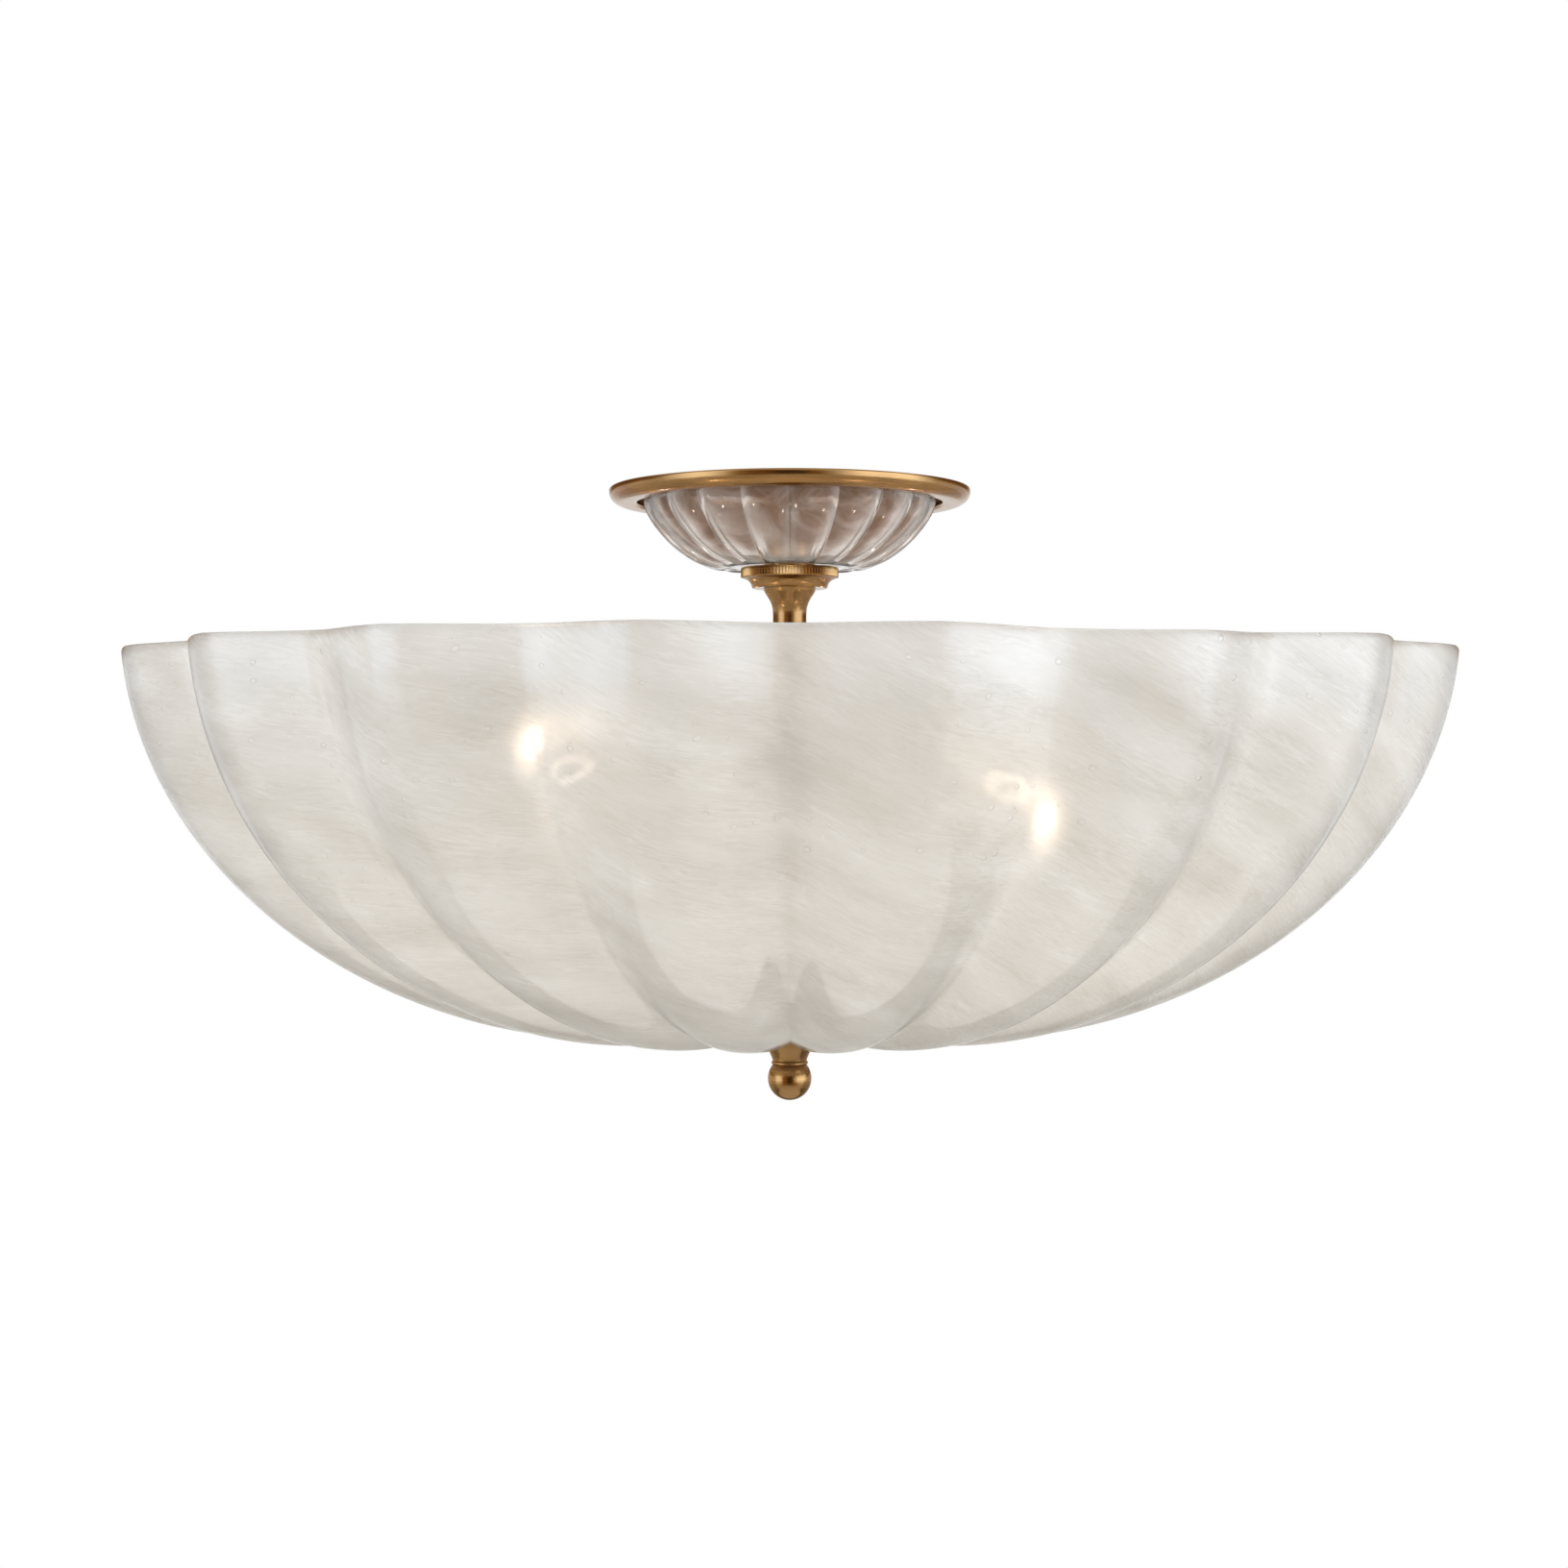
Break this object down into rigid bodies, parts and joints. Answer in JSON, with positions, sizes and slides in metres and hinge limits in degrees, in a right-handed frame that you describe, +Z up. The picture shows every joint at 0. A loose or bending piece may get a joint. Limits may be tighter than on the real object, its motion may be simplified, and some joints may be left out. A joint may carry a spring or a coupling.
{
  "type": "semi-flush ceiling light",
  "caption": "Semi-flush ceiling light: a scalloped glass bowl with bulbs inside, hung by a stem under a fluted glass canopy in a brass ring.",
  "frame": {"origin": "centre of the ceiling plane, midway between the two screw slots of the mounting strap", "axes": "+Z up into the ceiling along the stem, +X along the mounting strap, -Y towards the viewer"},
  "size_m": [0.506, 0.501, 0.2367],
  "materials": {
    "brass": "brushed antique brass",
    "dark_brass": "satin dark brass",
    "steel": "zinc plated",
    "nickel": "satin nickel plated",
    "green_paint": "green dyed zinc",
    "strie_glass": "white blown glass with fine streaks and seeds",
    "taupe_glass": "pinkish taupe blown glass, glossy",
    "opal_glass": "frosted",
    "porcelain": "glazed",
    "rubber": "matte"
  },
  "bodies": {
    "root": {"mounting_strap": "steel", "earth_screw": "green_paint", "strap_nipple": "steel", "strap_locknut": "steel", "neck_locknut": "brass", "neck": "brass", "stem_tube": "brass", "cluster_cap": "brass", "cluster_body": "brass", "stem_locknut": "steel", "rod_locknut": "steel", "rod_hub_nut": "brass", "arm_nipples": "steel", "arm_locknuts": "steel", "lampholder_1": "porcelain", "screw_shell_1": "brass", "centre_contact_1": "brass", "lampholder_2": "porcelain", "screw_shell_2": "brass", "centre_contact_2": "brass", "lampholder_3": "porcelain", "screw_shell_3": "brass", "centre_contact_3": "brass", "lampholder_4": "porcelain", "screw_shell_4": "brass", "centre_contact_4": "brass", "lower_rod": "dark_brass", "seat_nut": "brass", "bowl_seat": "brass", "inner_washer": "rubber"},
    "canopy": {"canopy_ring": "brass", "rim_gasket": "rubber", "canopy_glass": "taupe_glass", "collar_washer": "rubber"},
    "collar": {"knurled_collar": "brass"},
    "bowl": {"bowl_glass": "strie_glass", "outer_washer": "rubber"},
    "finial": {"finial": "dark_brass"},
    "bulb_1": {"bulb_base_1": "nickel", "bulb_glass_1": "opal_glass"},
    "bulb_2": {"bulb_base_2": "nickel", "bulb_glass_2": "opal_glass"},
    "bulb_3": {"bulb_base_3": "nickel", "bulb_glass_3": "opal_glass"},
    "bulb_4": {"bulb_base_4": "nickel", "bulb_glass_4": "opal_glass"}
  },
  "joints": [
    {"name": "canopy_drop", "type": "slide", "parent": "root", "child": "canopy", "axis": [0, 0, -1], "range_m": [0, 0.05]},
    {"name": "collar_spin", "type": "hinge", "parent": "canopy", "child": "collar", "pos_m": [0, 0, -0.0345], "axis": [0, 0, 1], "continuous": true},
    {"name": "bowl_drop", "type": "slide", "parent": "root", "child": "bowl", "axis": [0, 0, -1], "range_m": [0, 0.17]},
    {"name": "finial_spin", "type": "hinge", "parent": "bowl", "child": "finial", "pos_m": [0, 0, -0.225], "axis": [0, 0, 1], "continuous": true},
    {"name": "bulb_1_draw", "type": "slide", "parent": "root", "child": "bulb_1", "axis": [0.7071, 0.7071, 0], "range_m": [0, 0.03]},
    {"name": "bulb_2_draw", "type": "slide", "parent": "root", "child": "bulb_2", "axis": [-0.7071, 0.7071, 0], "range_m": [0, 0.03]},
    {"name": "bulb_3_draw", "type": "slide", "parent": "root", "child": "bulb_3", "axis": [-0.7071, -0.7071, 0], "range_m": [0, 0.03]},
    {"name": "bulb_4_draw", "type": "slide", "parent": "root", "child": "bulb_4", "axis": [0.7071, -0.7071, 0], "range_m": [0, 0.03]}
  ]
}
